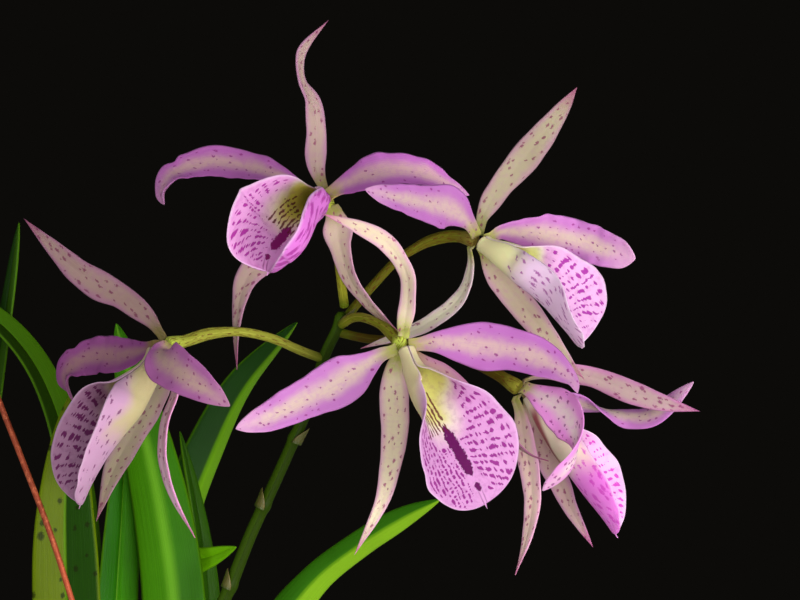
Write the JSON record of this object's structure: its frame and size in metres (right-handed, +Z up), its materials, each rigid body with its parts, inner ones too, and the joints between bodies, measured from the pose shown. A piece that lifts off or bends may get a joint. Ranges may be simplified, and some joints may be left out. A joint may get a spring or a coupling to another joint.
{
  "type": "potted brassanthe orchid",
  "caption": "Orchid in a round clay pot of bark: slim leafy pseudobulbs and one leaning flower stem of spidery pale blooms with folded, spotted lips.",
  "frame": {"origin": "centre of the pot's foot, on the surface it stands on", "axes": "+Z up, +X to the right and +Y away as the blooms are seen from the front"},
  "size_m": [0.2119, 0.122, 0.3661],
  "materials": {
    "terracotta": "matte",
    "bark": "matte",
    "pseudobulb": "satin",
    "leaf": "satin",
    "lime_leaf": "satin",
    "stem": "satin",
    "stalk": "satin",
    "sheath": "matte",
    "sepal": "satin",
    "petal": "satin",
    "lip": "satin",
    "column": "satin",
    "copper_wire": "satin"
  },
  "bodies": {
    "root": {"pot": "terracotta", "potting_bark": "bark", "pseudobulbs_and_roots": "pseudobulb", "leaf_far_left": "leaf", "leaf_arching": "leaf", "leaf_lime": "lime_leaf", "leaf_dark": "leaf", "leaf_broad": "leaf", "leaf_narrow": "leaf", "leaf_leaning": "leaf", "leaf_small": "leaf", "leaf_right": "leaf", "flower_stem": "stem", "stem_sheath": "sheath", "flower_1_stalk": "stalk", "flower_2_stalk": "stalk", "flower_3_stalk": "stalk", "flower_4_stalk": "stalk", "flower_5_stalk": "stalk", "flower_1_dorsal_sepal": "sepal", "flower_1_left_petal": "petal", "flower_1_right_petal": "petal", "flower_1_left_lateral_sepal": "sepal", "flower_1_right_lateral_sepal": "sepal", "flower_1_lip": "lip", "flower_1_column": "column", "flower_2_dorsal_sepal": "sepal", "flower_2_left_petal": "petal", "flower_2_right_petal": "petal", "flower_2_left_lateral_sepal": "sepal", "flower_2_right_lateral_sepal": "sepal", "flower_2_lip": "lip", "flower_2_column": "column", "flower_3_dorsal_sepal": "sepal", "flower_3_left_petal": "petal", "flower_3_right_petal": "petal", "flower_3_left_lateral_sepal": "sepal", "flower_3_right_lateral_sepal": "sepal", "flower_3_lip": "lip", "flower_3_column": "column", "flower_4_dorsal_sepal": "sepal", "flower_4_far_petal": "petal", "flower_4_near_petal": "petal", "flower_4_left_lateral_sepal": "sepal", "flower_4_right_lateral_sepal": "sepal", "flower_4_lip": "lip", "flower_4_column": "column", "flower_5_dorsal_sepal": "sepal", "flower_5_far_petal": "petal", "flower_5_near_petal": "petal", "flower_5_left_lateral_sepal": "sepal", "flower_5_right_lateral_sepal": "sepal", "flower_5_lip": "lip", "flower_5_column": "column", "support_wire": "copper_wire"}
  },
  "joints": []
}
